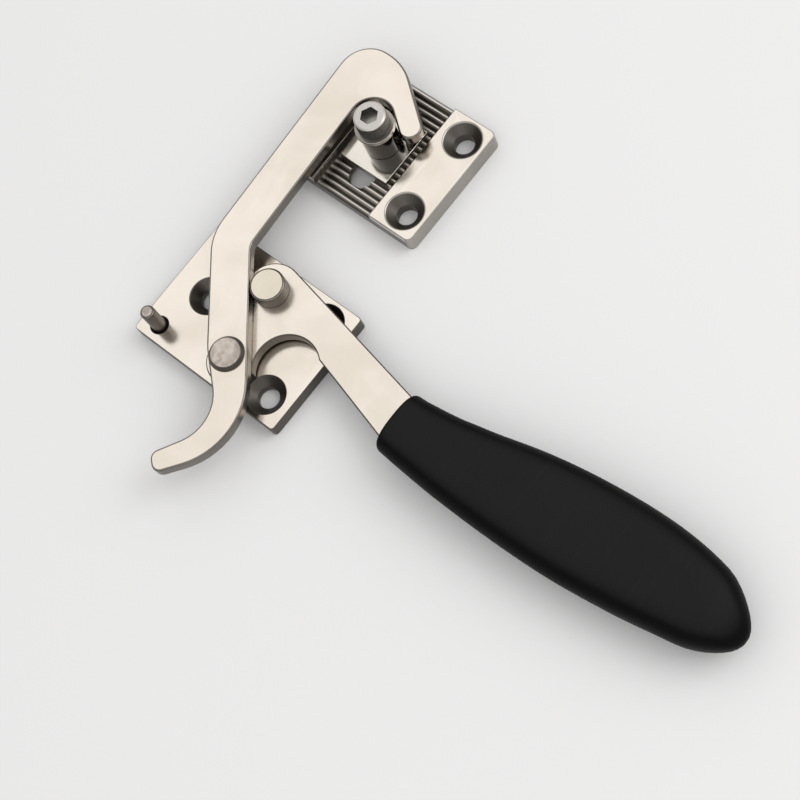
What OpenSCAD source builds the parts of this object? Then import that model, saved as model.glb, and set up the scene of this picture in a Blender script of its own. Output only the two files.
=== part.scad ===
// Over-centre hook latch with a handle lever and an adjustable roller strike, shown closed.
// Origin: lever pivot axis on the mounting plane. +Y is the pull direction, +Z leaves the door.

/* [Base plate] */
// Size of the base plate across the pull
base_w = 58; // [54:1:70]
// Size of the base plate along the pull
base_l = 42; // [40:1:56]
// Thickness of the base plate
base_t = 5; // [4:0.5:8]
// Radius of the base plate's upright corners
base_corner_r = 1.2; // [0.5:0.1:4]
// Distance from the plate's right edge to the pivot axis
pivot_inset_x = 26.4; // [24:0.1:32]
// Distance from the plate's far edge to the pivot axis
pivot_inset_y = 9.4; // [9:0.1:14]
// Distance of the right-hand screw holes from the right edge
base_hole_inset = 8.8; // [7.5:0.1:12]
// Spacing of the two right-hand screw holes
base_hole_span = 27.2; // [20:0.1:32]
// Distance of the left-hand screw hole from the left edge
base_left_inset = 13.2; // [8:0.1:16]

/* [Screw holes] */
// Clearance bore of every mounting screw hole
screw_hole_d = 6.6; // [5:0.1:7]
// Rim of the countersink on every mounting screw hole
screw_rim_d = 12.2; // [10:0.1:13]

/* [Pins] */
// Shank of the lever pivot pin
pivot_d = 8; // [6:0.5:9]
// Head of the lever pivot pin, which also stops the hook arm
pivot_head_d = 10.8; // [9:0.1:10.8]
// Height of the pivot pin's head
pivot_head_h = 5.2; // [3:0.1:8]
// Shank of the hook pin where the arm turns on it
hook_pin_d = 9; // [7:0.5:9.5]
// Rivet end of the hook pin in the lever
hook_rivet_d = 7; // [5:0.5:7.5]
// Head of the hook pin
hook_head_d = 11.4; // [10.5:0.1:12.4]
// Height of the hook pin's head
hook_head_h = 1.4; // [0.8:0.1:2.5]
// Diameter of the stop pin
stop_d = 4.5; // [3:0.1:6]
// Height of the stop pin above the base plate
stop_h = 10.6; // [9.5:0.1:14]
// Distance of the stop pin from the plate's left edge
stop_inset_x = 6.4; // [5:0.1:8]
// Distance of the stop pin from the plate's near edge
stop_inset_y = 5.1; // [4.6:0.1:7]

/* [Lever] */
// Thickness of the lever plate
lever_t = 4; // [3:0.5:6]
// Outer diameter of the spacer washer under the lever
lever_washer_d = 17; // [13:0.5:18]
// Thickness of the spacer washer under the lever
lever_washer_t = 0.7; // [0.5:0.1:1.5]
// Radius of the lever round its pivot
lever_hub_r = 9.2; // [8:0.1:10.5]
// Radius of the lever round the hook pin
lever_lobe_r = 8; // [7:0.1:9]
// Hook pin position from the pivot, across the pull
hook_pin_x = 3.9; // [3.5:0.1:4.5]
// Hook pin position from the pivot, against the pull
hook_pin_y = 23.4; // [22.5:0.1:25]
// Radius of the notch between the lobe and the bar
notch_r = 10.2; // [9:0.1:10.6]
// Distance from the pivot to the notch's deepest cut in the bar, across the pull
notch_x = 21.6; // [20.6:0.1:23]
// Depth of the notch past the bar's lower edge
notch_bite = 1.1; // [0.4:0.1:1.6]
// Angle of the bar's upper edge below the X axis
bar_angle = 10.8; // [8:0.1:13]
// Angle of the bar's lower edge below the X axis
bar_lower_angle = 14.5; // [12:0.1:16]
// Width of the bar where it enters the grip, along the pull
bar_w = 14.9; // [12:0.1:16]
// Length of the bar from the pivot to the grip
bar_len = 57.4; // [50:0.1:75]
// Width of the tang inside the grip
tang_w = 9; // [6:0.5:10]
// Length of the tang inside the grip
tang_len = 74; // [40:1:90]

/* [Grip] */
// Length of the grip
grip_len = 115; // [100:1:140]
// Widest part of the grip
grip_w = 32; // [30:0.1:36]
// Thickness of the grip
grip_t = 16; // [14:0.1:20]
// Height of the grip's underside above the mounting plane
grip_floor = 1; // [0.4:0.1:1.5]
// Radius of the grip's edge where the bar enters
grip_edge_r = 1.3; // [0.8:0.1:3]
// Length of the grip's rounded end
grip_round = 14.3; // [8:0.1:20]

/* [Hook arm] */
// Thickness of the hook arm
arm_t = 4; // [3:0.5:5]
// Width of the arm's shank
shank_w = 13.2; // [11:0.1:14]
// Width of the arm's crank
crank_w = 12.7; // [11:0.1:12.8]
// Inner radius of the arm's bend
arm_bend_r = 5; // [2:0.5:8]
// Angle of the crank below the X axis
crank_angle = 50.2; // [49:0.1:51]
// Lean of the shank away from the pull direction
shank_lean = 2.8; // [0:0.1:4]
// Distance of the shank's middle from the roller axis
shank_off = 17.85; // [16:0.05:19]
// Radius of the hook's shoulder
shoulder_r = 9.9; // [7:0.1:11]
// Radius between the hook's crown and its finger
crown_r = 18; // [6:0.5:20]
// Height of the hook above the roller axis, along the pull
hook_top = 22.4; // [20:0.1:25]
// Width of the hook's finger
finger_w = 7.2; // [6:0.1:8]
// Angle of the finger below the X axis
finger_angle = 36.5; // [34:0.1:38]
// Distance that the finger reaches past the roller axis
finger_reach = 5.9; // [4:0.1:7]
// Radius of the hook's throat
throat_r = 7; // [6:0.1:8]
// Outer radius of the curved tail
tail_outer_r = 24; // [20:0.1:25]
// Inner radius of the curved tail
tail_inner_r = 13.6; // [10:0.1:15]
// Width of the tail at its end
tail_w = 6.6; // [5:0.1:7.5]
// Angle of the tail's end below the X axis
tail_angle = 52; // [50:0.5:56]
// Angle of the tail's inner edge below the X axis
tail_inner_angle = 58; // [56:0.5:62]
// Angle of the neck between crank and tail below the X axis
neck_angle = 41; // [38:0.5:46]
// Distance from the hook pin back to where the neck begins
neck_back = 2.6; // [0:0.1:4]
// Tail end from the hook pin, across the pull
tail_end_x = 5.9; // [5:0.1:7]
// Tail end from the hook pin, against the pull
tail_end_y = 40.4; // [39:0.1:44]

/* [Strike] */
// Roller axis from the pivot axis, across the pull
roller_x = -4.4; // [-4.8:0.1:-4]
// Roller axis from the pivot axis, along the pull
roller_y = 57.1; // [56:0.1:60]
// Size of the strike plate across the pull
strike_w = 55; // [54:1:66]
// Size of the strike plate along the pull
strike_l = 42.4; // [40:0.1:52]
// Thickness of the strike plate at its lands
strike_t = 6.5; // [6:0.1:8]
// Radius of the strike plate's upright corners
strike_corner_r = 2; // [0.5:0.1:4]
// Spacing of the strike's screw holes across the pull
strike_hole_w = 40; // [38:0.1:44]
// Spacing of the strike's screw holes along the pull
strike_hole_l = 27.8; // [24:0.1:34]
// Width of the serrated channel
channel_w = 22.8; // [20:0.1:24]
// Depth of the channel down to the serration crests
channel_depth = 2; // [1.5:0.1:2.4]
// Pitch of the serrations
tooth_pitch = 2.12; // [1.5:0.02:3]
// Height of the serrations
tooth_h = 0.9; // [0.5:0.1:1.2]
// Flat on each serration crest
tooth_flat = 0.3; // [0.1:0.1:0.5]
// Width of the groove between the serrations and each channel wall
tooth_relief = 0.5; // [0.2:0.1:1]
// Width of the slot in the channel floor
slot_w = 8.4; // [8:0.1:9]
// Length of the slot in the channel floor
slot_len = 31; // [28:0.1:34]
// Width of the T-slot in the plate's back
tslot_w = 14; // [12:0.1:16]
// Depth of the T-slot in the plate's back
tslot_depth = 1.9; // [1.5:0.1:2.2]

/* [Strike block and stud] */
// Size of the block across the pull
block_w = 19; // [16:0.1:19]
// Size of the block along the pull
block_l = 20.4; // [16:0.1:22]
// Height of the block above the serration crests
block_h = 2.5; // [1.5:0.1:3]
// Thread of the cap screw
screw_d = 6; // [5:0.5:6]
// Head of the cap screw
screw_head_d = 10; // [8:0.1:11]
// Height of the cap screw's head
screw_head_h = 6; // [4:0.1:7]
// Width across flats of the screw's hexagon socket
socket_af = 5; // [4:0.1:6]
// Depth of the screw's hexagon socket
socket_depth = 3; // [2:0.1:4]
// Outer diameter of the screw's washer
washer_d = 12.4; // [11:0.1:14]
// Thickness of the screw's washer
washer_t = 1.6; // [1:0.1:2]
// Outer diameter of the roller
roller_d = 11.4; // [10:0.1:11.6]
// Length of the bush that the roller turns on
bush_len = 9.4; // [8:0.1:12]
// Outer diameter of the bush
bush_d = 8; // [7.5:0.1:8.5]
// Length of the slide nut's flange
nut_len = 16; // [12:0.1:18]
// Length of the slide nut's neck
nut_neck_len = 12; // [9:0.1:14]

/* [Clearances] */
// Radial clearance of a turning fit
turn_gap = 0.05; // [0.03:0.01:0.1]
// Radial clearance of a pressed, riveted or screwed fit
press_gap = 0.02; // [0.01:0.01:0.03]
// Gap between faces that slide on each other
face_gap = 0.1; // [0.05:0.05:0.2]
// Gap between the roller and the closed hook's finger
seat_gap = 0.4; // [0.2:0.05:0.8]
// Gap between the lever and the hook arm
arm_gap = 0.3; // [0.2:0.05:0.5]
// Gap between the mating serrations
tooth_gap = 0.06; // [0.03:0.01:0.1]
// Side clearance of the slide nut and of the tang
side_gap = 0.2; // [0.1:0.05:0.3]

/* [Hidden] */
$fn = 64;
cut = 1;

// Heights of the stacked plates
lever_z = base_t + lever_washer_t + face_gap;
lever_top = lever_z + lever_t;
arm_z = lever_top + arm_gap;
arm_top = arm_z + arm_t;
crest_z = strike_t - channel_depth;
valley_z = crest_z - tooth_h;
block_top = crest_z + block_h;
bush_top = block_top + bush_len;
washer_top = bush_top + washer_t;
screw_top = washer_top + screw_head_h;

// Places on the base plate
base_x0 = pivot_inset_x - base_w;
base_y0 = pivot_inset_y - base_l;
base_mid_y = base_y0 + base_l / 2;
base_right_x = pivot_inset_x - base_hole_inset;
base_holes = [[base_right_x, base_mid_y + base_hole_span / 2],
              [base_right_x, base_mid_y - base_hole_span / 2],
              [base_x0 + base_left_inset, base_mid_y]];
stop_at = [base_x0 + stop_inset_x, base_y0 + stop_inset_y];
stop_ring = 0.65;
pin_edge = 0.4;
rivet_flare = 1.2;

// Places on the strike
strike_holes = [for (sx = [-1, 1], sy = [-1, 1])
    [roller_x + sx * strike_hole_w / 2, roller_y + sy * strike_hole_l / 2]];
tooth_count = ceil(strike_l / tooth_pitch) + 2;
relief_drop = 0.15;

// Lever outline
hook_pin_at = [hook_pin_x, -hook_pin_y];
bar_side = [sin(bar_angle), cos(bar_angle)];
bar_lower_dir = [cos(bar_lower_angle), -sin(bar_lower_angle)];
bar_top = [bar_len, (lever_hub_r - bar_len * bar_side.x) / bar_side.y];
bar_bottom = bar_top - [0, bar_w];
bar_mid = (bar_top + bar_bottom) / 2;
notch_edge = bar_bottom + (notch_x - bar_len) / bar_lower_dir.x * bar_lower_dir;
notch_at = notch_edge - (notch_r - notch_bite) * [sin(bar_lower_angle), cos(bar_lower_angle)];
lobe_start = 10;
tang_rise = 3.6;
tang_dir = [cos(tang_rise), sin(tang_rise)];
tang_side = [-sin(tang_rise), cos(tang_rise)];

// Hook arm outline
roller_at = [roller_x, roller_y];
crank_dir = [cos(crank_angle), -sin(crank_angle)];
crank_side = [sin(crank_angle), cos(crank_angle)];
crank_right = hook_pin_at + crank_w / 2 * crank_side;
crank_left = hook_pin_at - crank_w / 2 * crank_side;
shank_dir = [-sin(shank_lean), cos(shank_lean)];
shank_side = [cos(shank_lean), sin(shank_lean)];
shank_right = roller_at - (shank_off - shank_w / 2) * shank_side;
shank_left = roller_at - (shank_off + shank_w / 2) * shank_side;
finger_dir = [cos(finger_angle), -sin(finger_angle)];
finger_side = [sin(finger_angle), cos(finger_angle)];
finger_in = roller_at + (roller_d / 2 + seat_gap) * finger_side;
finger_out = finger_in + finger_w * finger_side;
finger_end = finger_reach * finger_dir;
hook_crown = roller_at + [0, hook_top];
end_flat = 0.1;
tip_r = finger_w / 2 - end_flat;
tail_dir = [-cos(tail_angle), -sin(tail_angle)];
tail_side = [-sin(tail_angle), cos(tail_angle)];
tail_out = hook_pin_at + [tail_end_x, -tail_end_y];
tail_in = tail_out + tail_w * tail_side;
tail_flat = 0.5;
tail_tip_r = tail_w / 2 - tail_flat;
tail_in_dir = [-cos(tail_inner_angle), -sin(tail_inner_angle)];
neck_at = crank_left - neck_back * crank_dir;
neck_dir = [cos(neck_angle), -sin(neck_angle)];
neck_r = 20;
arc_step = 6;
full_turn = 360;

function unit(v) = v / norm(v);

// Points along an arc
function arc(centre, r, start, end) =
    let (n = ceil(abs(end - start) / arc_step))
    [for (i = [0 : n]) centre + r * [cos(start + (end - start) * i / n), sin(start + (end - start) * i / n)]];

// Point where two lines meet, each given by a point and a direction
function crossing(p, d, q, e) = p + d * ((q - p).x * e.y - (q - p).y * e.x) / (d.x * e.y - d.y * e.x);

// Arc that rounds one corner of an outline
function corner_arc(before, at, after, r) =
    let (a = unit(before - at), b = unit(after - at), half = acos(a * b) / 2)
    let (centre = at + unit(a + b) * r / sin(half))
    let (from = at + a * r / tan(half) - centre, to = at + b * r / tan(half) - centre)
    let (start = atan2(from.y, from.x), turned = atan2(to.y, to.x) - start + full_turn)
    let (sweep = (turned + full_turn / 2) % full_turn - full_turn / 2)
    arc(centre, r, start, start + sweep);

// Outline from corners that each have a point and a radius
function rounded(c) =
    let (n = len(c))
    [for (i = [0 : n - 1]) each corner_arc(c[(i + n - 1) % n][0], c[i][0], c[(i + 1) % n][0], c[i][1])];

// Rectangle with round corners, from its lower left corner
module rounded_rect_2d(size, r) {
    translate([r, 0]) square([size.x - 2 * r, size.y]);
    translate([0, r]) square([size.x, size.y - 2 * r]);
    for (x = [r, size.x - r], y = [r, size.y - r])
        translate([x, y]) circle(r);
}

// Countersunk hole through a plate, cut from its top face down
module countersunk_hole(at, top) {
    cone = (screw_rim_d - screw_hole_d) / 2;
    translate([at.x, at.y, -cut]) cylinder(h = top + 2 * cut, d = screw_hole_d);
    translate([at.x, at.y, top - cone]) cylinder(h = cone, d1 = screw_hole_d, d2 = screw_rim_d);
    translate([at.x, at.y, top]) cylinder(h = cut, d = screw_rim_d);
}

// Profile of a row of serrations along Y, drawn in the YZ plane with its crests at zero
module teeth_2d(count, base) {
    run = (tooth_pitch - tooth_flat) / 2;
    tooth = [[0, -tooth_h], [run, 0], [run + tooth_flat, 0], [tooth_pitch, -tooth_h]];
    polygon([for (i = [0 : count - 1], p = tooth) [(i - count / 2) * tooth_pitch + p.x, p.y],
             [count / 2 * tooth_pitch, -base], [-count / 2 * tooth_pitch, -base]]);
}

// Row of serrations across the channel, centred on the roller axis
module teeth(width, count, base) {
    translate([-width / 2, 0, 0])
        rotate([90, 0, 90]) linear_extrude(width) teeth_2d(count, base);
}

module base_plate() {
    color("lightgray") difference() {
        translate([base_x0, base_y0, 0])
            linear_extrude(base_t) rounded_rect_2d([base_w, base_l], base_corner_r);
        for (at = base_holes)
            countersunk_hole(at, base_t);
        translate([0, 0, -cut]) cylinder(h = base_t + 2 * cut, d = pivot_d + 2 * press_gap);
        pivot_flare(press_gap);
        translate([stop_at.x, stop_at.y, -cut])
            cylinder(h = base_t + 2 * cut, d = stop_d + 2 * press_gap);
        translate([stop_at.x, stop_at.y, base_t - stop_ring])
            cylinder(h = stop_ring, d1 = stop_d + 2 * press_gap, d2 = stop_d + 2 * stop_ring);
    }
}

// Flared rivet end of the pivot pin, grown by a gap
module pivot_flare(gap) {
    cylinder(h = rivet_flare, d1 = pivot_d + 2 * rivet_flare + 2 * gap, d2 = pivot_d + 2 * gap);
}

module stop_pin() {
    color("silver") translate([stop_at.x, stop_at.y, 0]) {
        cylinder(h = base_t + stop_h - pin_edge, d = stop_d);
        translate([0, 0, base_t + stop_h - pin_edge])
            cylinder(h = pin_edge, d1 = stop_d, d2 = stop_d - 2 * pin_edge);
    }
}

module pivot_pin() {
    head_z = lever_top + face_gap;
    color("silver") {
        pivot_flare(0);
        cylinder(h = head_z, d = pivot_d);
        translate([0, 0, head_z]) cylinder(h = pivot_head_h - pin_edge, d = pivot_head_d);
        translate([0, 0, head_z + pivot_head_h - pin_edge])
            cylinder(h = pin_edge, d1 = pivot_head_d, d2 = pivot_head_d - 2 * pin_edge);
    }
}

module lever_washer() {
    color("gray") translate([0, 0, base_t]) difference() {
        cylinder(h = lever_washer_t, d = lever_washer_d);
        translate([0, 0, -cut]) cylinder(h = lever_washer_t + 2 * cut, d = pivot_d + 2 * turn_gap);
    }
}

// Outline of the tang inside the grip, grown by a gap
function tang_outline(gap) =
    [for (end = [[0, 1], [1, 1], [1, -1], [0, -1]])
        bar_mid + end[0] * (tang_len + gap) * tang_dir + end[1] * (tang_w / 2 + gap) * tang_side];

// Hub, lobe and bar as one outline, hollowed by the notch
module lever_2d() {
    back = atan2(-hook_pin_y, hook_pin_x) - acos((lever_hub_r - lever_lobe_r) / norm(hook_pin_at));
    difference() {
        polygon(concat(arc(hook_pin_at, lever_lobe_r, lobe_start, back),
                       arc([0, 0], lever_hub_r, back, -270 - bar_angle),
                       [bar_top], tang_outline(0), [bar_bottom, notch_edge]));
        translate(notch_at) circle(notch_r);
    }
}

module handle_lever() {
    color("gainsboro") difference() {
        translate([0, 0, lever_z]) linear_extrude(lever_t) lever_2d();
        translate([0, 0, lever_z - cut]) cylinder(h = lever_t + 2 * cut, d = pivot_d + 2 * turn_gap);
        translate([hook_pin_at.x, hook_pin_at.y, lever_z - cut])
            cylinder(h = lever_t + 2 * cut, d = hook_rivet_d + 2 * press_gap);
        hook_flare(press_gap);
    }
}

// Stations of the grip, in shares: place along the length, lower and upper edge, thickness
grip_stations = [[0, -0.605, -0.005, 0.9], [0.06, -0.622, 0.012, 0.92], [0.18, -0.647, 0.088, 0.95],
                 [0.37, -0.653, 0.25, 1], [0.545, -0.625, 0.347, 1], [0.72, -0.547, 0.381, 1],
                 [0.86, -0.45, 0.33, 0.95], [1, -0.36, 0.19, 0.82]];
grip_steps = 4;
grip_sides = 36;
grip_power = 2.6;
edge_turns = [0 : 18 : 72];
end_turns = [0 : 10 : 80];

// Smooth value between the stations of a table column
function blend4(a, b, c, d, t) =
    0.5 * (2 * b + (c - a) * t + (2 * a - 5 * b + 4 * c - d) * t * t + (3 * b - a - 3 * c + d) * t * t * t);
function station(i) = grip_stations[min(max(i, 0), len(grip_stations) - 1)];
function station_at(u) =
    let (i = max([for (k = [0 : len(grip_stations) - 2]) if (grip_stations[k][0] <= u) k]))
    let (t = (u - station(i)[0]) / (station(i + 1)[0] - station(i)[0]))
    [for (k = [1 : 3]) blend4(station(i - 1)[k], station(i)[k], station(i + 1)[k], station(i + 2)[k], t)];

// Ring of points round the grip at a distance from its front
function squircle(v) = sign(v) * pow(abs(v), 2 / grip_power);
function grip_ring(along) =
    let (s = station_at(along / grip_len), edge = max(0, grip_edge_r - along))
    let (inset = grip_edge_r - sqrt(grip_edge_r * grip_edge_r - edge * edge))
    let (past = max(0, along - grip_len + grip_round) / grip_round, close = sqrt(1 - past * past))
    let (half_w = ((s[1] - s[0]) / 2 * grip_w - inset) * close)
    let (half_t = (s[2] * grip_t / 2 - inset) * close)
    let (mid_y = (s[0] + s[1]) / 2 * grip_w)
    [for (j = [0 : grip_sides - 1])
        let (a = full_turn * j / grip_sides)
        [bar_len + along, mid_y + half_w * squircle(cos(a)),
         grip_floor + grip_t / 2 + half_t * squircle(sin(a))]];

// Distances of the rings from the grip's front
function grip_rings() =
    let (body = grip_len - grip_round - grip_edge_r, n = grip_steps * len(grip_stations))
    concat([for (a = edge_turns) grip_edge_r * (1 - cos(a))],
           [for (i = [0 : n]) grip_edge_r + body * i / n],
           [for (a = end_turns) if (a > 0) grip_len - grip_round + grip_round * sin(a)]);

module grip_body() {
    rings = [for (along = grip_rings()) grip_ring(along)];
    n = len(rings);
    points = [for (r = rings, p = r) p];
    walls = [for (i = [0 : n - 2], j = [0 : grip_sides - 1])
                 let (m = (j + 1) % grip_sides)
                 [i * grip_sides + j, i * grip_sides + m,
                  (i + 1) * grip_sides + m, (i + 1) * grip_sides + j]];
    front = [for (j = [grip_sides - 1 : -1 : 0]) j];
    back = [for (j = [0 : grip_sides - 1]) (n - 1) * grip_sides + j];
    polyhedron(points, concat([front], walls, [back]), convexity = 4);
}

module grip() {
    color([0.13, 0.13, 0.14]) difference() {
        grip_body();
        translate([0, 0, lever_z - press_gap]) linear_extrude(lever_t + 2 * press_gap)
            polygon(concat(tang_outline(press_gap), [bar_mid - tang_w * tang_dir]));
    }
}

// Flared rivet end of the hook pin, grown by a gap
module hook_flare(gap) {
    translate([hook_pin_at.x, hook_pin_at.y, lever_z])
        cylinder(h = rivet_flare, d1 = hook_rivet_d + 2 * rivet_flare + 2 * gap, d2 = hook_rivet_d + 2 * gap);
}

module hook_pin() {
    head_z = arm_top + face_gap;
    chamfer = 1;
    color("darkgray") {
        hook_flare(0);
        translate([hook_pin_at.x, hook_pin_at.y, 0]) {
            translate([0, 0, lever_z]) cylinder(h = lever_t, d = hook_rivet_d);
            translate([0, 0, lever_top]) cylinder(h = head_z - lever_top, d = hook_pin_d);
            translate([0, 0, head_z])
                cylinder(h = hook_head_h, d1 = hook_head_d, d2 = hook_head_d - 2 * chamfer);
        }
    }
}

// Hook, shank, crank and tail as one outline
module arm_2d() {
    across = [1, 0];
    polygon(rounded([
        [crossing(shank_left, shank_dir, hook_crown, across), shoulder_r],
        [crossing(hook_crown, across, finger_out, finger_dir), crown_r],
        [finger_out + finger_end, tip_r],
        [finger_in + finger_end, tip_r],
        [crossing(finger_in, finger_dir, shank_right, shank_dir), throat_r],
        [crossing(shank_right, shank_dir, crank_right, crank_dir), arm_bend_r],
        [crossing(crank_right, crank_dir, tail_out, tail_dir), tail_outer_r],
        [tail_out, tail_tip_r],
        [tail_in, tail_tip_r],
        [crossing(tail_in, tail_in_dir, neck_at, neck_dir), tail_inner_r],
        [neck_at, neck_r],
        [crossing(crank_left, crank_dir, shank_left, shank_dir), arm_bend_r + crank_w]]));
}

module hook_arm() {
    color("whitesmoke") difference() {
        translate([0, 0, arm_z]) linear_extrude(arm_t) arm_2d();
        translate([hook_pin_at.x, hook_pin_at.y, arm_z - cut])
            cylinder(h = arm_t + 2 * cut, d = hook_pin_d + 2 * turn_gap);
    }
}

// Long round-ended slot along Y, centred on the roller axis
module slot(width, length, z0, z1) {
    translate([roller_x, roller_y, z0]) linear_extrude(z1 - z0) {
        square([width, length - width], center = true);
        for (s = [-1, 1])
            translate([0, s * (length - width) / 2]) circle(width / 2);
    }
}

module strike_plate() {
    corner = [roller_x - strike_w / 2, roller_y - strike_l / 2];
    color("lightgray") difference() {
        translate([corner.x, corner.y, 0])
            linear_extrude(strike_t) rounded_rect_2d([strike_w, strike_l], strike_corner_r);
        difference() {
            translate([roller_x - channel_w / 2, corner.y - cut, valley_z - relief_drop])
                cube([channel_w, strike_l + 2 * cut, strike_t]);
            translate([roller_x, roller_y, crest_z])
                teeth(channel_w - 2 * tooth_relief, tooth_count, tooth_h + 2 * cut);
        }
        for (at = strike_holes)
            countersunk_hole(at, strike_t);
        slot(slot_w, slot_len, -cut, strike_t);
        slot(tslot_w, slot_len + tslot_w - slot_w, -cut, tslot_depth);
    }
}

module strike_block() {
    color("silver") difference() {
        translate([roller_x - block_w / 2, roller_y - block_l / 2, valley_z])
            cube([block_w, block_l, block_top - valley_z]);
        translate([roller_x, roller_y, crest_z + tooth_gap])
            teeth(block_w + cut, tooth_count, tooth_h + 2 * cut);
        translate([roller_x, roller_y, 0]) cylinder(h = block_top + cut, d = screw_d + 2 * turn_gap);
    }
}

// Plain ring on the roller axis
module ring(outer, bore, z0, z1) {
    translate([roller_x, roller_y, z0]) difference() {
        cylinder(h = z1 - z0, d = outer);
        translate([0, 0, -cut]) cylinder(h = z1 - z0 + 2 * cut, d = bore);
    }
}

module roller_bush() {
    color("dimgray") ring(bush_d, screw_d + 2 * turn_gap, block_top, bush_top);
}

module roller() {
    color([0.2, 0.2, 0.22]) ring(roller_d, bush_d + 2 * turn_gap, block_top + face_gap, bush_top - face_gap);
}

module screw_washer() {
    color("gainsboro") ring(washer_d, screw_d + 2 * turn_gap, bush_top, washer_top);
}

module cap_screw() {
    head_edge = 0.5;
    color("gray") translate([roller_x, roller_y, 0]) difference() {
        union() {
            translate([0, 0, face_gap]) cylinder(h = washer_top, d = screw_d);
            translate([0, 0, washer_top]) cylinder(h = screw_head_h - head_edge, d = screw_head_d);
            translate([0, 0, screw_top - head_edge])
                cylinder(h = head_edge, d1 = screw_head_d, d2 = screw_head_d - 2 * head_edge);
        }
        translate([0, 0, screw_top - socket_depth])
            cylinder(h = socket_depth + cut, d = socket_af / cos(30), $fn = 6);
    }
}

module slide_nut() {
    neck_w = slot_w - 2 * side_gap;
    flange_w = tslot_w - 2 * side_gap;
    color("gray") translate([roller_x, roller_y, 0]) difference() {
        union() {
            translate([-flange_w / 2, -nut_len / 2, face_gap])
                cube([flange_w, nut_len, tslot_depth - face_gap]);
            translate([-neck_w / 2, -nut_neck_len / 2, face_gap])
                cube([neck_w, nut_neck_len, valley_z - 2 * face_gap]);
        }
        translate([0, 0, -cut]) cylinder(h = crest_z + 2 * cut, d = screw_d + 2 * press_gap);
    }
}

base_plate();
stop_pin();
pivot_pin();
lever_washer();
handle_lever();
grip();
hook_pin();
hook_arm();
strike_plate();
strike_block();
roller_bush();
roller();
screw_washer();
cap_screw();
slide_nut();
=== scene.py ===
"""Finish, light and view of an over-centre cabinet latch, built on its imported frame."""

import logging
import math
from collections.abc import Callable, Iterable
from dataclasses import dataclass, field
from enum import Enum

import bmesh
import bpy
from mathutils import Matrix, Vector


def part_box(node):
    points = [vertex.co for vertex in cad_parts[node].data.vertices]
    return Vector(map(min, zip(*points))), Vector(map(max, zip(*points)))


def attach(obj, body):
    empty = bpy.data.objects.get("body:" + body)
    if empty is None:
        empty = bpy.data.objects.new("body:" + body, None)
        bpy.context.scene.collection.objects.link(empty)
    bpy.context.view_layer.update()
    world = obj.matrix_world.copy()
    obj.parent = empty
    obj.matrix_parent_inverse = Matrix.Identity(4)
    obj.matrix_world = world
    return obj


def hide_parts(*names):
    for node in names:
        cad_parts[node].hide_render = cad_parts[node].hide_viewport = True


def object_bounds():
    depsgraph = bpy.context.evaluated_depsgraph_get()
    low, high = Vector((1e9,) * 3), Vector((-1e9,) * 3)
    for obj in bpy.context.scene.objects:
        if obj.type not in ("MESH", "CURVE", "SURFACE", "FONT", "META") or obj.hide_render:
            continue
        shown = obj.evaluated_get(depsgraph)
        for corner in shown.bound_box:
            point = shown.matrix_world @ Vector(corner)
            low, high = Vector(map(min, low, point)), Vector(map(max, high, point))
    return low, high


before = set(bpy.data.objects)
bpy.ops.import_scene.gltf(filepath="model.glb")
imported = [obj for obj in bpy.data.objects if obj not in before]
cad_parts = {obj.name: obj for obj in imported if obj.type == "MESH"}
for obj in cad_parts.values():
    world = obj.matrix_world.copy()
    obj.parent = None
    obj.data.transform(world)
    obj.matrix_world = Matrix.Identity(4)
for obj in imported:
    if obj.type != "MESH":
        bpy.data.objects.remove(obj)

CAD_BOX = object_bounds()
MM = 0.001
LOG = logging.getLogger("latch")

# How far edges turn, in degrees: joined up as flat, shaded as one curve, broken as sharp
FLAT_TURN, CURVED_TURN, SHARP_TURN = 0.6, 30.0, 35.0
# Upward share of a face's normal: upright or sloped below the first two, a cone between the last two
UPRIGHT, SLOPED, CONE, LEVEL = 0.5, 0.95, 0.3, 0.9
WELD = 0.002 * MM
EDGE_STEPS = 3

Socket = bpy.types.NodeSocket
Node = bpy.types.Node
Tree = bpy.types.NodeTree
Material = bpy.types.Material
Piece = bpy.types.Object
Face = bmesh.types.BMFace
Shape = bmesh.types.BMesh
Triple = tuple[float, float, float]
Colour = Triple
EdgeRule = Callable[[bmesh.types.BMEdge], bool]
FaceRule = Callable[[Face], bool]
ShapeChange = Callable[[Shape], None]
Zone = tuple[Material, FaceRule]


class Slot(Enum):
    """Material slots of the record."""

    PLATE = "plate_steel"
    PIN = "pin_steel"
    POLISHED = "polished_steel"
    SCREW = "screw_steel"
    GRIP = "grip_plastic"


class Body(Enum):
    """Moving bodies of the record."""

    MOUNTED = "mounted"
    LEVER = "lever"
    HOOK = "hook"
    ROLLER = "roller"


class Effect(Enum):
    """Surface effects that several finishes share, as node groups."""

    GRAIN = "brushed_grain"
    MARKS = "handling_marks"
    SCRATCHES = "fine_scratches"
    WEAR = "edge_wear"
    PITS = "surface_pits"
    # painted shade: darker towards low points of the object
    GRIME = "painted_low_shade"
    # painted light: paler on faces that look up, darker on the sides
    HANDLED = "painted_lit_top"


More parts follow.
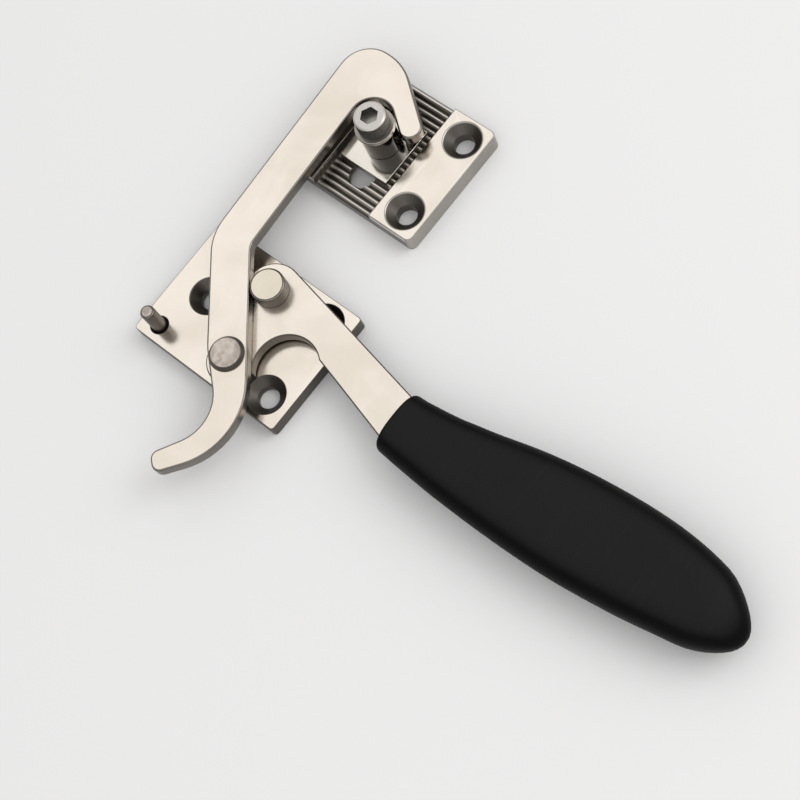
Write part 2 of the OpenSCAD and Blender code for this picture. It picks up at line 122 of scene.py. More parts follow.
@dataclass
class Graph:
    """Small helper that adds and links nodes in one node tree."""

    tree: Tree

    def add(self, kind: str, **values: object) -> Node:
        """Add a node.

        Args:
            kind: Blender's name of the node type.
            **values: Node properties by name.

        Returns:
            The new node.
        """
        node = self.tree.nodes.new(kind)
        for name, value in values.items():
            setattr(node, name, value)
        return node

    def link(self, source: Socket, target: Socket) -> None:
        """Join an output to an input."""
        self.tree.links.new(source, target)

    def math(self, operation: str, a: Socket, b: Socket | float) -> Socket:
        """Combine two values.

        Args:
            operation: Blender's name of the operation.
            a: First value.
            b: Second value, a socket or a number.

        Returns:
            The result's socket.
        """
        node = self.add("ShaderNodeMath", operation=operation)
        self.link(a, node.inputs[0])
        if isinstance(b, Socket):
            self.link(b, node.inputs[1])
        else:
            node.inputs[1].default_value = b
        return node.outputs[0]

    def spread(self, value: Socket, source: tuple[float, float],
               target: tuple[float, float]) -> Socket:
        """Map a value from one range to another, held at the ends.

        Args:
            value: Value to map.
            source: Lowest and highest value that come in.
            target: Values that go out for them.

        Returns:
            The mapped value's socket.
        """
        node = self.add("ShaderNodeMapRange", interpolation_type="SMOOTHSTEP")
        self.link(value, node.inputs["Value"])
        for name, number in zip(("From Min", "From Max", "To Min", "To Max"), (*source, *target)):
            node.inputs[name].default_value = number
        return node.outputs["Result"]

    def blend(self, share: Socket, a: Colour | Socket, b: Colour) -> Socket:
        """Mix two colours.

        Args:
            share: Share of the second colour.
            a: First colour, plain or a socket.
            b: Second colour.

        Returns:
            The mixed colour's socket.
        """
        node = self.add("ShaderNodeMix", data_type="RGBA")
        self.link(share, node.inputs["Factor"])
        first, second = node.inputs[6], node.inputs[7]
        if isinstance(a, Socket):
            self.link(a, first)
        else:
            first.default_value = (*a, 1.0)
        second.default_value = (*b, 1.0)
        return node.outputs[2]

    def relief(self, height: Socket, strength: float, depth: float, shader: Node) -> None:
        """Turn a height into a shader's normal.

        Args:
            height: Height over the surface.
            strength: Strength of the relief.
            depth: Depth of the relief, in millimetres.
            shader: Shader that takes the normal.
        """
        bump = self.add("ShaderNodeBump")
        bump.inputs["Strength"].default_value = strength
        bump.inputs["Distance"].default_value = depth * MM
        self.link(height, bump.inputs["Height"])
        self.link(bump.outputs["Normal"], shader.inputs["Normal"])


def new_material(name: str) -> tuple[Material, Graph, Node]:
    """Make an empty material.

    Args:
        name: Name of the material.

    Returns:
        The material, its graph and its shader.
    """
    material = bpy.data.materials.new(name)
    material.use_nodes = True
    return material, Graph(material.node_tree), material.node_tree.nodes["Principled BSDF"]


class SurfaceEffects:
    """The shared effects, each a node group that is built once."""

    def __init__(self) -> None:
        """Build every effect."""
        self.groups: dict[Effect, Tree] = {
            Effect.GRAIN: self._grain(),
            Effect.MARKS: self._marks(),
            Effect.SCRATCHES: self._scratches(),
            Effect.WEAR: self._wear(),
            Effect.PITS: self._pits(),
            # painted shade that darkens low points, and painted light that makes faces looking up paler
            Effect.GRIME: self._upright(Effect.GRIME, "Object", (1.0, 0.0)),
            Effect.HANDLED: self._upright(Effect.HANDLED, "Normal", (0.0, 1.0)),
        }

    @staticmethod
    def _start(effect: Effect, inputs: Iterable[tuple[str, str, object]],
               output: str) -> tuple[Graph, Node, Node]:
        """Make an empty group with its sockets.

        Args:
            effect: Effect that the group is for.
            inputs: Name, socket type and default of each input.
            output: Name of the value that it puts out.

        Returns:
            The group's graph, its input node and its output node.
        """
        tree = bpy.data.node_groups.new(effect.value, "ShaderNodeTree")
        for name, kind, default in inputs:
            tree.interface.new_socket(name, in_out="INPUT", socket_type=kind).default_value = default
        tree.interface.new_socket(output, in_out="OUTPUT", socket_type="NodeSocketFloat")
        graph = Graph(tree)
        return graph, graph.add("NodeGroupInput"), graph.add("NodeGroupOutput")

    def _grain(self) -> Tree:
        """Fine lines drawn out along one direction."""
        graph, given, out = self._start(Effect.GRAIN, [
            ("Stretch", "NodeSocketVector", (1.0, 1.0, 1.0)), ("Scale", "NodeSocketFloat", 1.0)], "Height")
        place = graph.add("ShaderNodeTexCoord")
        stretch = graph.add("ShaderNodeVectorMath", operation="MULTIPLY")
        noise = graph.add("ShaderNodeTexNoise")
        noise.inputs["Detail"].default_value = 5.0
        noise.inputs["Roughness"].default_value = 0.62
        graph.link(place.outputs["Object"], stretch.inputs[0])
        graph.link(given.outputs["Stretch"], stretch.inputs[1])
        graph.link(stretch.outputs[0], noise.inputs["Vector"])
        graph.link(given.outputs["Scale"], noise.inputs["Scale"])
        graph.link(noise.outputs["Fac"], out.inputs["Height"])
        return graph.tree

    def _marks(self) -> Tree:
        """Broad soft patches, as left by polishing and by hands."""
        graph, given, out = self._start(Effect.MARKS, [("Scale", "NodeSocketFloat", 40.0)], "Tone")
        place = graph.add("ShaderNodeTexCoord")
        noise = graph.add("ShaderNodeTexNoise")
        noise.inputs["Detail"].default_value = 3.0
        noise.inputs["Distortion"].default_value = 0.6
        graph.link(place.outputs["Object"], noise.inputs["Vector"])
        graph.link(given.outputs["Scale"], noise.inputs["Scale"])
        graph.link(graph.spread(noise.outputs["Fac"], (0.3, 0.7), (0.0, 1.0)), out.inputs["Tone"])
        return graph.tree

    def _scratches(self) -> Tree:
        """Sparse hair-thin lines in two directions."""
        graph, given, out = self._start(Effect.SCRATCHES, [
            ("Scale", "NodeSocketFloat", 1.0), ("Amount", "NodeSocketFloat", 0.5)], "Mask")
        place = graph.add("ShaderNodeTexCoord")
        layers: list[Socket] = []
        for turn, size in ((0.5, (900.0, 22.0, 22.0)), (-0.9, (1300.0, 30.0, 30.0))):
            lay = graph.add("ShaderNodeMapping")
            lay.inputs["Rotation"].default_value = (0.0, 0.0, turn)
            lay.inputs["Scale"].default_value = size
            noise = graph.add("ShaderNodeTexNoise")
            noise.inputs["Detail"].default_value = 1.0
            graph.link(place.outputs["Object"], lay.inputs["Vector"])
            graph.link(lay.outputs["Vector"], noise.inputs["Vector"])
            graph.link(given.outputs["Scale"], noise.inputs["Scale"])
            layers.append(graph.spread(noise.outputs["Fac"], (0.66, 0.74), (0.0, 1.0)))
        both = graph.math("MAXIMUM", layers[0], layers[1])
        graph.link(graph.math("MULTIPLY", both, given.outputs["Amount"]), out.inputs["Mask"])
        return graph.tree

    def _wear(self) -> Tree:
        """Share of each point that lies on a rounded outer edge."""
        graph, given, out = self._start(Effect.WEAR, [("Amount", "NodeSocketFloat", 0.5)], "Mask")
        shape = graph.add("ShaderNodeNewGeometry")
        edge = graph.spread(shape.outputs["Pointiness"], (0.5, 0.62), (0.0, 1.0))
        graph.link(graph.math("MULTIPLY", edge, given.outputs["Amount"]), out.inputs["Mask"])
        return graph.tree

    def _pits(self) -> Tree:
        """Small rounded dents, as on a peened or sand-blasted face."""
        graph, given, out = self._start(Effect.PITS, [("Scale", "NodeSocketFloat", 900.0)], "Height")
        place = graph.add("ShaderNodeTexCoord")
        cells = graph.add("ShaderNodeTexVoronoi", feature="SMOOTH_F1")
        noise = graph.add("ShaderNodeTexNoise")
        for node in (cells, noise):
            graph.link(place.outputs["Object"], node.inputs["Vector"])
            graph.link(given.outputs["Scale"], node.inputs["Scale"])
        graph.link(graph.math("ADD", cells.outputs["Distance"], noise.outputs["Fac"]), out.inputs["Height"])
        return graph.tree

    def _upright(self, effect: Effect, source: str, target: tuple[float, float]) -> Tree:
        """Mask that follows how high a point lies, or how far its face looks up.

        Args:
            effect: Effect that the group is for.
            source: Texture coordinate to read, the object's own place or its normal.
            target: Mask at the low end and at the high end.

        Returns:
            The group.
        """
        graph, given, out = self._start(effect, [
            ("Low", "NodeSocketFloat", 0.0), ("High", "NodeSocketFloat", 1.0)], "Mask")
        place = graph.add("ShaderNodeTexCoord")
        parts = graph.add("ShaderNodeSeparateXYZ")
        graph.link(place.outputs[source], parts.inputs[0])
        mask = graph.spread(parts.outputs["Z"], (0.0, 1.0), target).node
        graph.link(given.outputs["Low"], mask.inputs["From Min"])
        graph.link(given.outputs["High"], mask.inputs["From Max"])
        graph.link(mask.outputs["Result"], out.inputs["Mask"])
        return graph.tree

    def place(self, graph: Graph, effect: Effect, **values: object) -> Socket:
        """Put an effect into a material.

        Args:
            graph: The material's graph.
            effect: Effect to use.
            **values: The effect's inputs, with their names in lower case.

        Returns:
            The socket of the value that it puts out.
        """
        node = graph.add("ShaderNodeGroup", node_tree=self.groups[effect])
        for name, value in values.items():
            node.inputs[name.capitalize()].default_value = value
        return node.outputs[0]


@dataclass(frozen=True)
class SteelFinish:
    """A stainless steel surface, from satin plate to mirror polish."""

    name: str
    tint: Colour
    shade: Colour
    roughness: float
    grain: float = 0.3
    stretch: Triple = (40.0, 900.0, 900.0)
    scratches: float = 0.06
    mark_scale: float = 45.0
    mark_depth: float = 0.05
    pits: float = 0.0
    pit_scale: float = 900.0
    wear: float = 0.5
    relief: float = 0.03
    # painted shade: colour laid over low points, full at the low height and gone at the high height, in
    # millimetres
    film: Colour | None = None
    film_low: float = 0.0
    film_high: float = 1.0
    mark_share: float = 0.6
    edge_gain: float = 1.08
    grain_gloss: float = 0.10
    scratch_gloss: float = 0.18
    scratch_depth: float = 0.25
    strength: float = 0.35

    def build(self, effects: SurfaceEffects) -> Material:
        """Make the material.

        Args:
            effects: The shared effects.

        Returns:
            The material.
        """
        material, graph, shader = new_material(self.name)
        shader.inputs["Metallic"].default_value = 1.0
        grain = effects.place(graph, Effect.GRAIN, stretch=self.stretch)
        marks = effects.place(graph, Effect.MARKS, scale=self.mark_scale)
        lines = effects.place(graph, Effect.SCRATCHES, amount=self.scratches)
        edge = effects.place(graph, Effect.WEAR, amount=self.wear)
        tone = graph.blend(graph.math("MULTIPLY", marks, self.mark_share), self.tint, self.shade)
        bright = tuple(min(1.0, c * self.edge_gain) for c in self.tint)
        colour = graph.blend(edge, tone, bright)
        # painted shade: blend towards the shade colour at low points
        if self.film:
            shade_mask = effects.place(graph, Effect.GRIME, low=self.film_low * MM, high=self.film_high * MM)
            colour = graph.blend(shade_mask, colour, self.film)
        graph.link(colour, shader.inputs["Base Color"])
        gloss = graph.math("MULTIPLY_ADD", marks, self.mark_depth)
        gloss.node.inputs[2].default_value = self.roughness
        gloss = graph.math("ADD", gloss, graph.math("MULTIPLY", lines, self.scratch_gloss))
        gloss = graph.math("ADD", gloss, graph.math("MULTIPLY", grain, self.grain_gloss))
        graph.link(gloss, shader.inputs["Roughness"])
        cuts = graph.math("MULTIPLY", lines, self.scratch_depth)
        height = graph.math("SUBTRACT", graph.math("MULTIPLY", grain, self.grain), cuts)
        if self.pits:
            dents = effects.place(graph, Effect.PITS, scale=self.pit_scale)
            height = graph.math("ADD", height, graph.math("MULTIPLY", dents, self.pits))
        graph.relief(height, self.strength, self.relief, shader)
        return material


@dataclass(frozen=True)
class MouldedFinish:
    """Satin black moulding with a fine eroded skin, with painted light making its upward-facing top paler
    than its sides.
    """

    name: str = "black_moulding"
    colour: Colour = (0.0012, 0.0012, 0.0012)
    # painted light: the top's paler colour, and scuffs that show only on the lit top; side and top say how
    # far a face looks up where it starts and where it is full
    top_sheen: Colour = (0.011, 0.011, 0.0113)
    scuffs_and_sheen: Colour = (0.015, 0.015, 0.0155)
    side: float = 0.80
    top: float = 0.992
    roughness: float = 0.46
    specular: float = 0.08
    mark_scale: float = 28.0
    mark_share: float = 0.35
    mark_gloss: float = 0.10
    scratches: float = 0.25
    skin_scale: float = 2600.0
    relief: float = 0.05
    strength: float = 0.22

    def build(self, effects: SurfaceEffects) -> Material:
        """Make the material.

        Args:
            effects: The shared effects.

        Returns:
            The material.
        """
        material, graph, shader = new_material(self.name)
        shader.inputs["Specular IOR Level"].default_value = self.specular
        marks = effects.place(graph, Effect.MARKS, scale=self.mark_scale)
        lines = effects.place(graph, Effect.SCRATCHES, amount=self.scratches)
        skin = effects.place(graph, Effect.PITS, scale=self.skin_scale)
        # painted light: faces that look up are paler, the sides darker, and the marks and scratches show
        # only on the lit top
        top_sheen_mask = effects.place(graph, Effect.HANDLED, low=self.side, high=self.top)
        colour = graph.blend(top_sheen_mask, self.colour, self.top_sheen)
        scuffs_and_sheen = graph.math("ADD", graph.math("MULTIPLY", marks, self.mark_share), lines)
        colour = graph.blend(graph.math("MULTIPLY", scuffs_and_sheen, top_sheen_mask), colour, self.scuffs_and_sheen)
        graph.link(colour, shader.inputs["Base Color"])
        gloss = graph.math("MULTIPLY_ADD", marks, self.mark_gloss)
        gloss.node.inputs[2].default_value = self.roughness
        graph.link(gloss, shader.inputs["Roughness"])
        graph.relief(skin, self.strength, self.relief, shader)
        return material


class Finishes:
    """Every finish of the latch, built once."""

    def __init__(self) -> None:
        """Build the shared effects and the materials."""
        effects = SurfaceEffects()
        plate = ((0.94, 0.865, 0.768), (0.76, 0.68, 0.58))
        along, across, upright = (60.0, 900.0, 900.0), (900.0, 60.0, 900.0), (500.0, 500.0, 40.0)
        turned, drawn = (700.0, 700.0, 700.0), (700.0, 700.0, 60.0)
        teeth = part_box("strike_block")[0].z / MM

        def steel(name: str, tones: tuple[Colour, Colour], roughness: float, **values: object) -> Material:
            """Make a steel finish from its tint and shade."""
            return SteelFinish(name, *tones, roughness, **values).build(effects)

        self.arm = steel("arm_steel", plate, 0.15, stretch=across)
        self.lever = steel("lever_steel", plate, 0.15, stretch=along)
        self.base = steel("base_steel", plate, 0.10, stretch=along)
        self.strike = steel("strike_steel", plate, 0.09, stretch=across)
        # cut edges: a matte edge tone, made darker still as painted shade
        self.cut = steel("cut_edge_and_shade_steel", ((0.40, 0.375, 0.345), (0.29, 0.27, 0.245)), 0.24,
                         grain=0.4, stretch=upright, relief=0.05)
        # the arm's walls and underside: a matte edge tone, darkened as painted shade
        self.sawn_edge_and_shade = steel("sawn_edge_and_shade_steel", ((0.235, 0.215, 0.19), (0.155, 0.14, 0.122)), 0.22,
                          grain=0.4, stretch=upright, relief=0.05)
        # painted shade: a very dark steel for walls, cones, bores, undersides and the edges beside them
        self.shade_steel = steel("painted_shade_steel", ((0.135, 0.122, 0.108), (0.095, 0.085, 0.075)), 0.34,
                          grain=0.3, stretch=(120.0, 120.0, 2600.0), wear=0.2, relief=0.05)
        # the serration valleys take painted shade, darker towards their floor
        self.toothed = steel("toothed_steel", ((0.80, 0.76, 0.70), (0.66, 0.62, 0.57)), 0.22, stretch=along,
                             film=(0.155, 0.145, 0.13), film_low=teeth + 0.15, film_high=teeth + 0.95)
        self.pin = steel("pin_face", ((0.83, 0.765, 0.63), (0.72, 0.655, 0.535)), 0.20,
                         grain=0.1, stretch=turned, scratches=0.3, relief=0.05)
        self.peened = steel("peened_steel", ((0.66, 0.59, 0.525), (0.20, 0.165, 0.14)), 0.22,
                            pits=1.8, pit_scale=620.0, mark_scale=330.0, mark_depth=0.2, relief=0.06)
        self.mirror = steel("mirror_steel", ((0.86, 0.81, 0.735), (0.76, 0.71, 0.64)), 0.06,
                            grain=0.05, scratches=0.1, mark_depth=0.03)
        # the roller's own black, also used as painted shade on the hook's throat
        self.black = steel("roller_steel", ((0.036, 0.034, 0.032), (0.024, 0.023, 0.021)), 0.05,
                           grain=0.05, stretch=(60.0, 60.0, 1400.0), mark_depth=0.04, wear=0.3)
        self.screw = steel("screw_face", ((0.67, 0.64, 0.605), (0.50, 0.475, 0.445)), 0.30,
                           pits=0.7, pit_scale=1500.0, stretch=drawn, relief=0.06)
        # painted shade: the screw's knurled side and socket walls, far darker than its face
        self.shaded_knurl = steel("shaded_knurl_steel", ((0.088, 0.083, 0.077), (0.055, 0.052, 0.048)), 0.30,
                           pits=0.5, pit_scale=1900.0, stretch=drawn, relief=0.05)
        self.grip = MouldedFinish().build(effects)


def outer_edges(limit: float) -> EdgeRule:
    """Rule that picks outer edges that turn sharply.

    Args:
        limit: Smallest turn, in degrees.

    Returns:
        The rule.
    """
    turn = math.radians(limit)
    return lambda edge: len(edge.link_faces) == 2 and edge.calc_face_angle_signed(0.0) > turn


def walls(face: Face) -> bool:
    """Whether a face stands upright."""
    return abs(face.normal.z) < UPRIGHT


def walls_and_undersides(face: Face) -> bool:
    """Whether a face stands upright or looks down."""
    return face.normal.z < UPRIGHT


def slopes(face: Face) -> bool:
    """Whether a face slopes or stands upright."""
    return abs(face.normal.z) < SLOPED


def recesses(node: str, inset: float) -> FaceRule:
    """Rule that picks the bores, cones and flanks inside a plate's outline.

    Args:
        node: Node of the plate.
        inset: How far inside the outline they begin, in millimetres.

    Returns:
        The rule.
    """
    low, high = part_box(node)

    def inside(face: Face) -> bool:
        """Whether a face is part of a cone, or stands inside the outline."""
        at = face.calc_center_median()
        depth = min(at.x - low.x, high.x - at.x, at.y - low.y, high.y - at.y)
        cone = CONE < face.normal.z < LEVEL
        return cone or (abs(face.normal.z) < LEVEL and depth > inset * MM)

    return inside


def edges_above(height: float, limit: float) -> EdgeRule:
    """Rule that picks sharp outer edges that lie above a height.

    Args:
        height: Height in metres.
        limit: Smallest turn, in degrees.

    Returns:
        The rule.
    """
    sharp = outer_edges(limit)
    return lambda edge: sharp(edge) and min(v.co.z for v in edge.verts) > height


@dataclass
class Assembly:
    """A group of pieces on the frame."""

    finishes: Finishes
    pieces: list[Piece] = field(default_factory=list, init=False)

    def seat(self, piece: Piece, node: str, body: Body) -> Piece:
        """Put a piece in the place of a node of the frame.

        Args:
            piece: New piece, in the frame's own place.
            node: Node that it stands for.
            body: Body that it moves with.

        Returns:
            The piece.
        """
        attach(piece, body.value)
        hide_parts(node)
        self.pieces.append(piece)
        LOG.info("%s: %d faces, on %s", piece.name, len(piece.data.polygons), body.value)
        return piece

    def soften(self, node: str, body: Body, slot: Slot, material: Material, edge: float,
               rule: EdgeRule | None = None, flats: bool = True, zones: Iterable[Zone] = (),
               edge_zone: int = -1, shift: ShapeChange | None = None) -> Piece:
        """Copy a node with its edges broken and its curves smooth.

        Args:
            node: Node to copy.
            body: Body that it moves with.
            slot: The record's slot of its finish; not used.
            material: Finish of the piece.
            edge: Width of the broken edges, in millimetres.
            rule: Which edges to break, or none for every sharp outer edge.
            flats: Whether flat faces are first joined up.
            zones: Other finishes and the faces that take them, the last that fits first.
            edge_zone: Which zone's finish the broken edges take, or -1 for their neighbours'.
            shift: Last change to the copied shape, before its edges are broken.

        Returns:
            The new piece.
        """
        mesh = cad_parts[node].data.copy()
        mesh.name = f"{node}_dressed"
        zones = tuple(zones)
        mesh.materials.clear()
        for finish in (material, *(zone for zone, _ in zones)):
            mesh.materials.append(finish)
        picked = rule or outer_edges(SHARP_TURN)
        shape = bmesh.new()
        shape.from_mesh(mesh)
        bmesh.ops.remove_doubles(shape, verts=shape.verts, dist=WELD)
        if flats:
            bmesh.ops.dissolve_limit(shape, angle_limit=math.radians(FLAT_TURN),
                                     verts=shape.verts, edges=shape.edges)
        if shift:
            shift(shape)
        weight = shape.edges.layers.float.new("bevel_weight_edge")
        for side in shape.edges:
            side[weight] = 1.0 if picked(side) else 0.0
            side.smooth = side.calc_face_angle(0.0) < math.radians(CURVED_TURN)
        for face in shape.faces:
            face.smooth = True
            face.material_index = max((i + 1 for i, (_, fits) in enumerate(zones) if fits(face)), default=0)
        shape.to_mesh(mesh)
        shape.free()
        for spare in [a.name for a in mesh.attributes if a.name == "custom_normal"]:
            mesh.attributes.remove(mesh.attributes[spare])
        piece = bpy.data.objects.new(f"{node}_dressed", mesh)
        bpy.context.scene.collection.objects.link(piece)
        if edge:
            broken = piece.modifiers.new("broken_edges", "BEVEL")
            broken.limit_method = "WEIGHT"
            broken.width = edge * MM
            broken.segments = EDGE_STEPS
            broken.harden_normals = True
            # a dark zone finish paints the broken edges as dark lines of shade
            broken.material = edge_zone
        return self.seat(piece, node, body)


@dataclass
class LatchBase(Assembly):
    """Base plate with its fixed pins and spacer."""

    plate_edge: float = 0.35
    pin_edge: float = 0.25
    washer_edge: float = 0.1

    def build(self) -> None:
        """Dress the base plate, its pins and its spacer."""
        done = self.finishes
        # painted shade on the plate's walls, countersinks and broken edges
        self.soften("base_plate", Body.MOUNTED, Slot.PLATE, done.base, self.plate_edge,
                    zones=[(done.shade_steel, slopes)], edge_zone=1)
        for pin, top in (("stop_pin", done.peened), ("pivot_pin", done.pin)):
            # painted shade on the pins' sides, undersides and broken edges
            self.soften(pin, Body.MOUNTED, Slot.PIN, top, self.pin_edge,
                        zones=[(done.shade_steel, walls_and_undersides)], edge_zone=1)
        self.soften("lever_washer", Body.MOUNTED, Slot.PIN, done.pin, self.washer_edge)


@dataclass
class HandleLever(Assembly):
    """Lever plate with its grip and hook pin."""

    plate_edge: float = 0.5
    pin_edge: float = 0.25

    def build(self) -> None:
        """Dress the lever, its grip and its hook pin."""
        done = self.finishes
        # painted shade on the lever's walls, underside and broken edges
        self.soften("handle_lever", Body.LEVER, Slot.PLATE, done.lever, self.plate_edge,
                    zones=[(done.shade_steel, walls_and_undersides)], edge_zone=1)
        # painted shade on the hook pin's sloped rim and sides
        self.soften("hook_pin", Body.LEVER, Slot.PIN, done.peened, self.pin_edge,
                    zones=[(done.shade_steel, slopes)])
        self.soften("grip", Body.LEVER, Slot.GRIP, done.grip, 0.0, flats=False)


@dataclass
class HookArm(Assembly):
    """Cranked arm with its hook and tail."""

    plate_edge: float = 0.6
    throat_reach: float = 11.0

    def _shaded_throat(self, face: Face) -> bool:
        """Whether a face is part of the wall that runs round the roller, which is painted dark as shade."""
        low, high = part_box("roller")
        off = face.calc_center_median() - (low + high) / 2
        return walls(face) and off.xy.length < self.throat_reach * MM

    def build(self) -> None:
        """Dress the arm."""
        done = self.finishes
        # painted shade: the arm's walls and underside take a dark finish, the throat round the roller takes
        # the roller's black
        self.soften("hook_arm", Body.HOOK, Slot.PLATE, done.arm, self.plate_edge,
                    zones=[(done.sawn_edge_and_shade, walls_and_undersides), (done.black, self._shaded_throat)], edge_zone=1)


@dataclass
class Strike(Assembly):
    """Serrated plate with its block, roller and stud."""

    land_edge: float = 0.3
    ring_edge: float = 0.25
    bush_edge: float = 0.1
    nut_edge: float = 0.2
    rim_depth: float = 0.2
    block_turn: float = 60.0
    hole_inset: float = 2.2
    channel_half: float = 11.5
    channel_floor: float = 0.3
    channel_rim: float = 0.5
    end_slope: float = 0.55
    end_near: float = 1.0
    end_far: float = 0.3
    valley_rise: float = 0.1
    crest_drop: float = 1.0
    socket_depth: float = 3.0
    knurl_ridges: int = 56
    knurl_steps: int = 4
    knurl_rise: float = 0.13
    knurl_root: float = 0.05
    knurl_top: float = 0.75
    knurl_foot: float = 5.6
    knurl_lead: float = 0.2

    def _channel(self, face: Face) -> bool:
        """Whether a face belongs to the serrated channel."""
        low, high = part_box("strike_plate")
        at = face.calc_center_median()
        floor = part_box("strike_block")[0].z - self.channel_floor * MM
        within = abs(at.x - (low.x + high.x) / 2) < self.channel_half * MM
        return within and floor < at.z < high.z - self.channel_rim * MM

    def _socket_floor(self, face: Face) -> bool:
        """Whether a face is the floor of the screw's socket, which is painted darker as shade."""
        _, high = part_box("cap_screw")
        half_way = high.z - self.socket_depth / 2 * MM
        return face.normal.z > LEVEL and face.calc_center_median().z < half_way

    def _slope_ends(self, shape: Shape) -> None:
        """Slope the ends of the serrations back from the channel's walls.

        Args:
            shape: Copy of the strike plate.
        """
        low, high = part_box("strike_plate")
        middle = (low.x + high.x) / 2
        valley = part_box("strike_block")[0].z + self.valley_rise * MM
        near, far = ((self.channel_half - end) * MM for end in (self.end_near, self.end_far))
        for point in shape.verts:
            off = point.co.x - middle
            if near < abs(off) < far and valley < point.co.z < high.z - self.crest_drop * MM:
                point.co.x -= math.copysign(self.end_slope * MM, off)
        shape.normal_update()

    def _knurl(self) -> None:
        """Add the fine upright ridges round the screw's head."""
        low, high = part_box("cap_screw")
        middle = (low + high) / 2
        root = (high.x - low.x) / 2 - self.knurl_root * MM
        levels = [(self.knurl_foot, 0.0), (self.knurl_foot - self.knurl_lead, 1.0),
                  (self.knurl_top + self.knurl_lead, 1.0), (self.knurl_top, 0.0)]
        shape = bmesh.new()
        rings: list[list[bmesh.types.BMVert]] = []
        steps = self.knurl_steps * self.knurl_ridges
        for drop, share in levels:
            ring = []
            for i in range(steps):
                wave = (0.5 + 0.5 * math.cos(math.tau * i / self.knurl_steps)) * share
                reach = root + self.knurl_rise * MM * wave
                turn = math.tau * i / steps
                x, y = middle.x + reach * math.cos(turn), middle.y + reach * math.sin(turn)
                ring.append(shape.verts.new((x, y, high.z - drop * MM)))
            rings.append(ring)
        for lower, upper in zip(rings, rings[1:] + rings[:1]):
            for i in range(steps):
                j = (i + 1) % steps
                shape.faces.new((lower[i], lower[j], upper[j], upper[i]))
        mesh = bpy.data.meshes.new("screw_knurl")
        shape.to_mesh(mesh)
        shape.free()
        # the ridges take the knurl's painted shade
        mesh.materials.append(self.finishes.shaded_knurl)
        piece = bpy.data.objects.new("screw_knurl", mesh)
        bpy.context.scene.collection.objects.link(piece)
        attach(piece, Body.MOUNTED.value)
        self.pieces.append(piece)
        LOG.info("%s: %d faces, on %s", piece.name, len(mesh.polygons), Body.MOUNTED.value)

    def build(self) -> None:
        """Dress the plate and everything that is screwed to it."""
        done = self.finishes
        plate_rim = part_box("strike_plate")[1].z - self.rim_depth * MM
        block_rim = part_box("strike_block")[1].z - self.rim_depth * MM
        # painted shade on the walls, countersinks, serration valleys and broken edges
        self.soften("strike_plate", Body.MOUNTED, Slot.PLATE, done.strike, self.land_edge,
                    edges_above(plate_rim, SHARP_TURN),
                    zones=[(done.cut, walls), (done.shade_steel, recesses("strike_plate", self.hole_inset)),
                           (done.toothed, self._channel)], edge_zone=1, shift=self._slope_ends)
        # the block's walls take the darker cut-edge finish, part painted shade
        self.soften("strike_block", Body.MOUNTED, Slot.POLISHED, done.mirror, self.land_edge,
                    edges_above(block_rim, self.block_turn), zones=[(done.cut, walls)])
        self.soften("roller_bush", Body.MOUNTED, Slot.PIN, done.pin, self.bush_edge)
        self.soften("roller", Body.ROLLER, Slot.POLISHED, done.black, self.ring_edge)
        self.soften("screw_washer", Body.MOUNTED, Slot.POLISHED, done.cut, self.ring_edge)
        # painted shade: the head's sides and socket walls near black, the socket floor darker than the face
        self.soften("cap_screw", Body.MOUNTED, Slot.SCREW, done.screw, self.ring_edge,
                    zones=[(done.shaded_knurl, walls), (done.cut, self._socket_floor)])
        self._knurl()
        self.soften("slide_nut", Body.MOUNTED, Slot.SCREW, done.screw, self.nut_edge)


@dataclass(frozen=True)
class View:
    """Camera at the photograph's viewing angle, from its axes in the frame."""

    place: Triple = (0.2553, -0.0676, 0.4746)
    right: Triple = (0.7474, 0.6199, -0.2390)
    down: Triple = (0.5347, -0.7748, -0.3373)
    lens: float = 81.0
    sensor: float = 36.0
    nearest: float = 0.01

    def build(self) -> None:
        """Make the camera and use it."""
        right = Vector(self.right).normalized()
        up = -(Vector(self.down) - Vector(self.down).dot(right) * right).normalized()
        turn = Matrix((right, up, right.cross(up))).transposed().to_4x4()
        data = bpy.data.cameras.new("view")
        data.lens = self.lens
        data.sensor_width = self.sensor
        data.clip_start = self.nearest
        camera = bpy.data.objects.new("view", data)
        camera.matrix_world = Matrix.Translation(Vector(self.place)) @ turn
        bpy.context.scene.collection.objects.link(camera)
        bpy.context.scene.camera = camera


@dataclass(frozen=True)
class Lamp:
    """Soft square lamp that faces the latch."""

    name: str
    place: Triple
    size: float
    power: float

    def build(self, target: Vector) -> None:
        """Make the lamp.

        Args:
            target: Point that it faces.
        """
        data = bpy.data.lights.new(self.name, "AREA")
        data.shape = "SQUARE"
        data.size = self.size
        data.energy = self.power
        lamp = bpy.data.objects.new(self.name, data)
        lamp.location = self.place
        lamp.rotation_euler = (target - Vector(self.place)).to_track_quat("-Z", "Y").to_euler()
        bpy.context.scene.collection.objects.link(lamp)


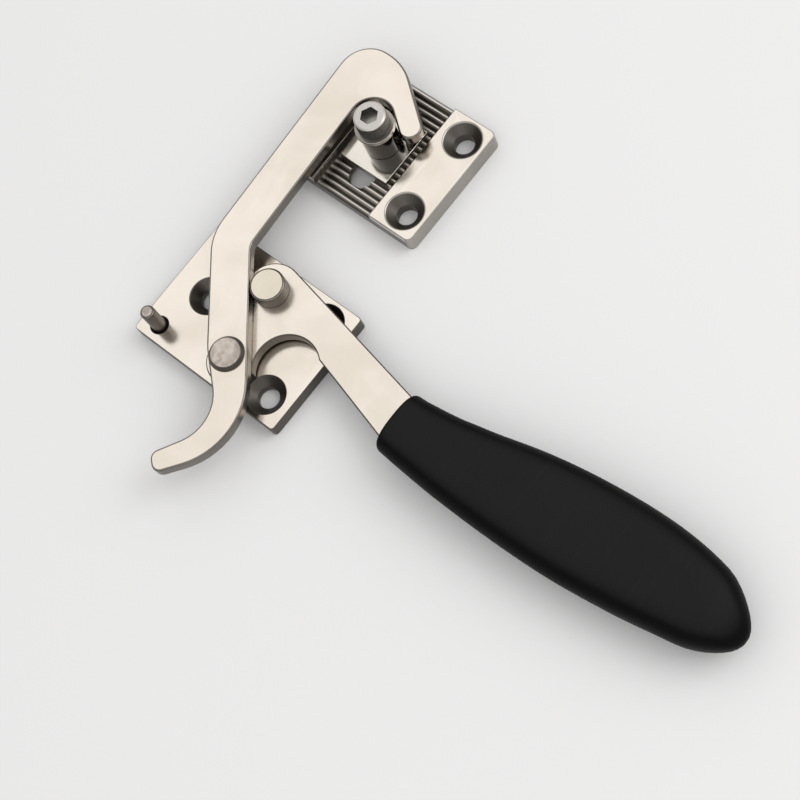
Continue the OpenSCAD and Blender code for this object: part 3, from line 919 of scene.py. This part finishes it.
@dataclass(frozen=True)
class Studio:
    """Pale floor, soft sky and lamps."""

    floor_size: float = 24.0
    floor_drop: float = 0.1
    floor_colour: Colour = (0.80, 0.80, 0.80)
    floor_roughness: float = 0.9
    floor_specular: float = 0.1
    zenith: Colour = (0.96, 0.955, 0.95)
    horizon: Colour = (0.34, 0.33, 0.32)
    full_height: float = 0.8
    lamps: tuple[Lamp, ...] = (
        Lamp("key", (0.75, 0.95, 1.05), 1.1, 8.0),
        Lamp("fill", (0.9, -0.9, 0.9), 1.1, 1.2),
    )

    def _floor(self) -> None:
        """Lay the floor just under the mounting plane."""
        half = self.floor_size / 2
        mesh = bpy.data.meshes.new("floor")
        corners = [(-half, -half, 0.0), (half, -half, 0.0), (half, half, 0.0), (-half, half, 0.0)]
        mesh.from_pydata(corners, [], [(0, 1, 2, 3)])
        material, _, shader = new_material("floor")
        shader.inputs["Base Color"].default_value = (*self.floor_colour, 1.0)
        shader.inputs["Roughness"].default_value = self.floor_roughness
        shader.inputs["Specular IOR Level"].default_value = self.floor_specular
        mesh.materials.append(material)
        floor = bpy.data.objects.new("floor", mesh)
        floor.location.z = -self.floor_drop * MM
        bpy.context.scene.collection.objects.link(floor)

    def _sky(self) -> None:
        """Make a sky that is bright overhead and dim at the horizon."""
        world = bpy.data.worlds.new("studio")
        world.use_nodes = True
        bpy.context.scene.world = world
        graph = Graph(world.node_tree)
        place = graph.add("ShaderNodeTexCoord")
        parts = graph.add("ShaderNodeSeparateXYZ")
        graph.link(place.outputs["Generated"], parts.inputs[0])
        height = graph.spread(parts.outputs["Z"], (0.0, self.full_height), (0.0, 1.0))
        back = world.node_tree.nodes["Background"]
        graph.link(graph.blend(height, self.horizon, self.zenith), back.inputs["Color"])
        back.inputs["Strength"].default_value = 1.0

    def build(self) -> None:
        """Set the stage."""
        self._floor()
        self._sky()
        low, high = (Vector(corner) for corner in CAD_BOX)
        for lamp in self.lamps:
            lamp.build((low + high) / 2)
        bpy.context.scene.view_settings.view_transform = "Standard"


def main() -> None:
    """Dress every part of the latch and set the stage."""
    logging.basicConfig(level=logging.INFO, format="%(name)s: %(message)s")
    finishes = Finishes()
    for part in (LatchBase(finishes), HandleLever(finishes), HookArm(finishes), Strike(finishes)):
        part.build()
        LOG.info("%s: %d pieces", type(part).__name__, len(part.pieces))
    Studio().build()
    View().build()


if __name__ == "__main__":
    main()
